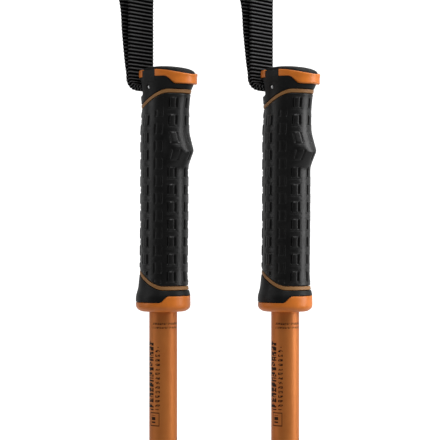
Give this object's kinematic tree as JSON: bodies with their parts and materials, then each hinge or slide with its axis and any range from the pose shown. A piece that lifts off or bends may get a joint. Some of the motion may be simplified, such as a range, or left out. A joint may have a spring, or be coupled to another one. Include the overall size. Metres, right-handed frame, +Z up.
{
  "type": "pair of adjustable snow poles",
  "caption": "Pair of telescoping aluminium poles hanging by their wrist straps: rubber grips with head ring and finger ledge, lever length clamps, baskets and steel tips.",
  "frame": {"origin": "on the rail that the two wrist loops hang from, halfway between the loops", "axes": "+Z up, +X along the row from the left pole to the right one; each grip's front is turned 38 degrees from +X towards -Y"},
  "size_m": [0.1526, 0.0667, 1.2388],
  "materials": {
    "orange_plastic": "satin orange moulded plastic",
    "black_plastic": "satin black moulded plastic",
    "black_rubber": "semi-matt black grip rubber",
    "webbing": "black ribbed polyester webbing",
    "anodised": "satin orange anodised aluminium",
    "steel": "plain steel",
    "pale_plastic": "natural white nylon"
  },
  "bodies": {
    "straps": {"left_strap_loop": "webbing", "left_strap_anchor": "webbing", "left_strap_bush": "pale_plastic", "right_strap_loop": "webbing", "right_strap_anchor": "webbing", "right_strap_bush": "pale_plastic"},
    "left_pole": {"left_grip_core": "orange_plastic", "left_head_shell": "black_plastic", "left_grip_sleeve": "black_rubber", "left_lower_cuff": "black_plastic", "left_top_cap": "black_plastic", "left_strap_pin": "steel", "left_upper_shaft": "anodised", "left_shaft_plug": "pale_plastic", "left_clamp_collar": "black_plastic", "left_clamp_bush": "pale_plastic", "left_cam_washer": "steel", "left_barrel_pin": "steel"},
    "left_lower": {"left_lower_shaft": "anodised", "left_lower_plug": "pale_plastic", "left_tip_ferrule": "black_plastic", "left_steel_tip": "steel", "left_basket_clip": "black_plastic"},
    "left_lever": {"left_clamp_lever": "black_plastic"},
    "left_screw": {"left_tension_screw": "steel"},
    "left_basket_body": {"left_basket": "black_plastic"},
    "right_pole": {"right_grip_core": "orange_plastic", "right_head_shell": "black_plastic", "right_grip_sleeve": "black_rubber", "right_lower_cuff": "black_plastic", "right_top_cap": "black_plastic", "right_strap_pin": "steel", "right_upper_shaft": "anodised", "right_shaft_plug": "pale_plastic", "right_clamp_collar": "black_plastic", "right_clamp_bush": "pale_plastic", "right_cam_washer": "steel", "right_barrel_pin": "steel"},
    "right_lower": {"right_lower_shaft": "anodised", "right_lower_plug": "pale_plastic", "right_tip_ferrule": "black_plastic", "right_steel_tip": "steel", "right_basket_clip": "black_plastic"},
    "right_lever": {"right_clamp_lever": "black_plastic"},
    "right_screw": {"right_tension_screw": "steel"},
    "right_basket_body": {"right_basket": "black_plastic"}
  },
  "joints": [
    {"name": "left_swing", "type": "hinge", "parent": "straps", "child": "left_pole", "pos_m": [-0.01016, -0.02269, -0.2009], "axis": [-0.6157, -0.788, 0], "range_deg": [-7, 7]},
    {"name": "left_extend", "type": "slide", "parent": "left_pole", "child": "left_lower", "axis": [0, 0, -1], "range_m": [0, 0.3]},
    {"name": "left_lever_open", "type": "hinge", "parent": "left_pole", "child": "left_lever", "pos_m": [-0.03113, -0.02191, -1.024], "axis": [0, 0, -1], "range_deg": [0, 150]},
    {"name": "left_screw_turn", "type": "hinge", "parent": "left_pole", "child": "left_screw", "pos_m": [-0.02356, -0.01222, -1.024], "axis": [0.6157, 0.788, 0], "continuous": true},
    {"name": "left_basket_turn", "type": "hinge", "parent": "left_lower", "child": "left_basket_body", "pos_m": [-0.01016, -0.02269, -1.184], "axis": [0, 0, 1], "continuous": true},
    {"name": "right_swing", "type": "hinge", "parent": "straps", "child": "right_pole", "pos_m": [0.06824, -0.02269, -0.2009], "axis": [-0.6157, -0.788, 0], "range_deg": [-7, 7]},
    {"name": "right_extend", "type": "slide", "parent": "right_pole", "child": "right_lower", "axis": [0, 0, -1], "range_m": [0, 0.3]},
    {"name": "right_lever_open", "type": "hinge", "parent": "right_pole", "child": "right_lever", "pos_m": [0.04727, -0.02191, -1.024], "axis": [0, 0, -1], "range_deg": [0, 150]},
    {"name": "right_screw_turn", "type": "hinge", "parent": "right_pole", "child": "right_screw", "pos_m": [0.05484, -0.01222, -1.024], "axis": [0.6157, 0.788, 0], "continuous": true},
    {"name": "right_basket_turn", "type": "hinge", "parent": "right_lower", "child": "right_basket_body", "pos_m": [0.06824, -0.02269, -1.184], "axis": [0, 0, 1], "continuous": true}
  ]
}
